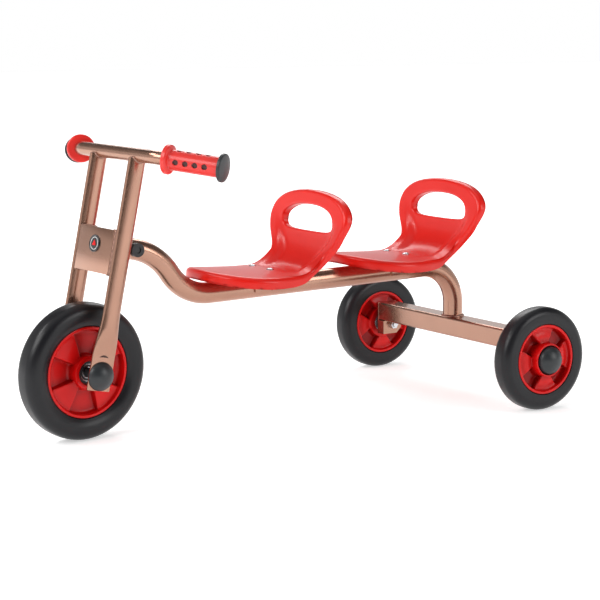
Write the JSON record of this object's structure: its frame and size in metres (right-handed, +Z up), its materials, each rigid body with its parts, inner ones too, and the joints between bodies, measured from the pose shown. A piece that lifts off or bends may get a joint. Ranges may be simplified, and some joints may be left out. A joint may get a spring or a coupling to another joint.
{
  "type": "push tricycle in tandem form",
  "caption": "Child's push ride-on in tandem form: steered front wheel in a fork, bent tube frame, moulded seats in line, and rear wheels on a cross axle.",
  "frame": {"origin": "on the ground under the middle of the overall length and width, with the fork turned 8.2 degrees to the rider's left as at rest", "axes": "+Z up, -Y the way it drives, +X to the rider's left"},
  "size_m": [0.518, 0.8464, 0.4328],
  "materials": {
    "rose_coat": "smooth metallic powder coat, semi-gloss",
    "zinc_steel": "bright zinc plate",
    "bearing_steel": "ground bearing steel",
    "black_rubber": "matt rubber",
    "tyre_black": "smooth solid rubber with a soft sheen",
    "grip_red": "satin soft rubber",
    "seat_red": "glossy moulded plastic",
    "hub_red": "glossy moulded plastic",
    "dark_cap": "satin moulded plastic",
    "black_nylon": "machined nylon",
    "badge_black": "glossy moulded plastic"
  },
  "bodies": {
    "frame": {"main_beam": "rose_coat", "head_tube": "rose_coat", "upper_head_bush": "black_nylon", "lower_head_bush": "black_nylon", "rear_axle_beam": "rose_coat", "axle_bracket_left": "rose_coat", "axle_bracket_right": "rose_coat", "rear_stub_axle_left": "zinc_steel", "rear_stub_axle_right": "zinc_steel", "rear_stub_nuts": "zinc_steel", "rear_axle_spacers": "zinc_steel", "rear_axle_washers": "zinc_steel", "rear_axle_nuts": "zinc_steel", "rear_cap_left": "dark_cap", "rear_cap_right": "dark_cap", "rear_inner_races_left": "bearing_steel", "rear_inner_races_right": "bearing_steel", "steering_stop_left": "black_rubber", "steering_stop_right": "black_rubber", "stop_screws": "zinc_steel", "seat_bracket_front": "rose_coat", "seat_bracket_rear": "rose_coat", "seat_front": "seat_red", "seat_rear": "seat_red", "seat_screws_front": "zinc_steel", "seat_screws_rear": "zinc_steel", "seat_nuts_front": "zinc_steel", "seat_nuts_rear": "zinc_steel"},
    "fork": {"fork_leg_left": "rose_coat", "fork_leg_right": "rose_coat", "upper_crown_plate": "rose_coat", "lower_crown_plate": "rose_coat", "crown_cover": "rose_coat", "badge": "badge_black", "steering_shaft": "zinc_steel", "crown_screws": "zinc_steel", "handlebar": "rose_coat", "grip_left": "grip_red", "grip_right": "grip_red", "grip_plug_left": "dark_cap", "grip_plug_right": "dark_cap", "front_axle": "zinc_steel", "front_axle_spacers": "black_nylon", "front_axle_hardware": "zinc_steel", "front_cap_left": "dark_cap", "front_cap_right": "dark_cap", "front_inner_races": "bearing_steel"},
    "front_wheel": {"front_wheel_bearings": "bearing_steel", "front_hub": "hub_red", "front_tyre": "tyre_black"},
    "rear_wheel_left": {"rear_outer_races_left": "bearing_steel", "rear_bearing_balls_left": "bearing_steel", "rear_bearing_seals_left": "black_rubber", "rear_hub_left": "hub_red", "rear_tyre_left": "tyre_black"},
    "rear_wheel_right": {"rear_outer_races_right": "bearing_steel", "rear_bearing_balls_right": "bearing_steel", "rear_bearing_seals_right": "black_rubber", "rear_hub_right": "hub_red", "rear_tyre_right": "tyre_black"}
  },
  "joints": [
    {"name": "steering", "type": "hinge", "parent": "frame", "child": "fork", "pos_m": [0, -0.3238, 0.1], "axis": [0, 0.2096, 0.9778], "range_deg": [-43.2, 26.8]},
    {"name": "front_wheel_spin", "type": "hinge", "parent": "fork", "child": "front_wheel", "pos_m": [0, -0.3238, 0.1], "axis": [0.9898, 0.1395, -0.0299], "continuous": true},
    {"name": "rear_wheel_left_spin", "type": "hinge", "parent": "frame", "child": "rear_wheel_left", "pos_m": [0.218, 0.3432, 0.08], "axis": [1, 0, 0], "continuous": true},
    {"name": "rear_wheel_right_spin", "type": "hinge", "parent": "frame", "child": "rear_wheel_right", "pos_m": [-0.218, 0.3432, 0.08], "axis": [1, 0, 0], "continuous": true}
  ]
}
